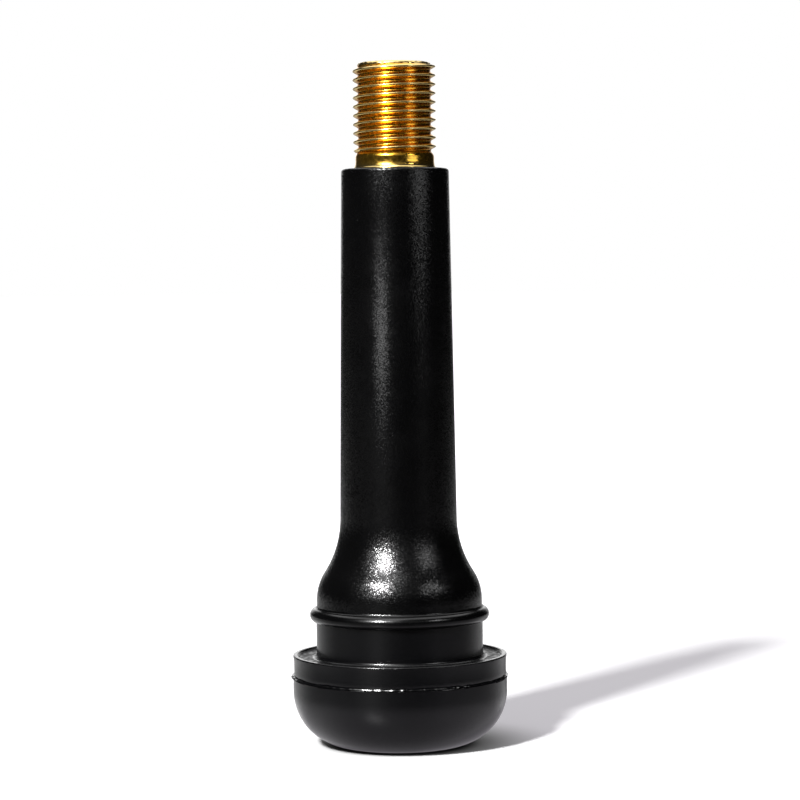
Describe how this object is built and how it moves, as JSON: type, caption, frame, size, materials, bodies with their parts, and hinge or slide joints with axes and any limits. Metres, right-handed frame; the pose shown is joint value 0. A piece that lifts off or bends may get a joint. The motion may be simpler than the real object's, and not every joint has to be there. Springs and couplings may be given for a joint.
{
  "type": "tyre valve",
  "caption": "Long snap-in tubeless tyre valve: moulded rubber body with a rim groove and rounded foot, threaded brass stem and a sprung valve core that unscrews.",
  "frame": {"origin": "centre of the flat sole that the valve stands on", "axes": "+Z along the stem, from the sole to the threaded tip; the core plug's flats face -Y and +Y at rest"},
  "size_m": [0.0194, 0.0194, 0.0615],
  "materials": {
    "body_rubber": "satin black moulded rubber",
    "stem_brass": "bright turned brass",
    "core_brass": "turned brass",
    "seal": "matte red seal",
    "spring_steel": "bright drawn wire"
  },
  "bodies": {
    "stem": {"rubber_body": "body_rubber", "brass_stem": "stem_brass"},
    "barrel": {"core_barrel": "core_brass", "barrel_gasket": "seal", "core_spring": "spring_steel"},
    "plug": {"core_plug": "core_brass"},
    "pin": {"core_pin": "core_brass", "pin_cup": "core_brass", "cup_gasket": "seal"}
  },
  "joints": [
    {"name": "core_lift", "type": "slide", "parent": "stem", "child": "barrel", "axis": [0, 0, 1], "range_m": [0, 0.00564]},
    {"name": "plug_turn", "type": "hinge", "parent": "barrel", "child": "plug", "pos_m": [0, 0, 0.0562], "axis": [0, 0, 1], "range_deg": [0, 2880]},
    {"name": "pin_press", "type": "slide", "parent": "barrel", "child": "pin", "axis": [0, 0, -1], "range_m": [0, 0.0012], "stiffness_N_per_m": 1200, "deforming": ["core_spring"]}
  ],
  "couplings": [
    {"joint": "plug_turn", "follows": "core_lift", "rad_per_m": 8905.3}
  ]
}
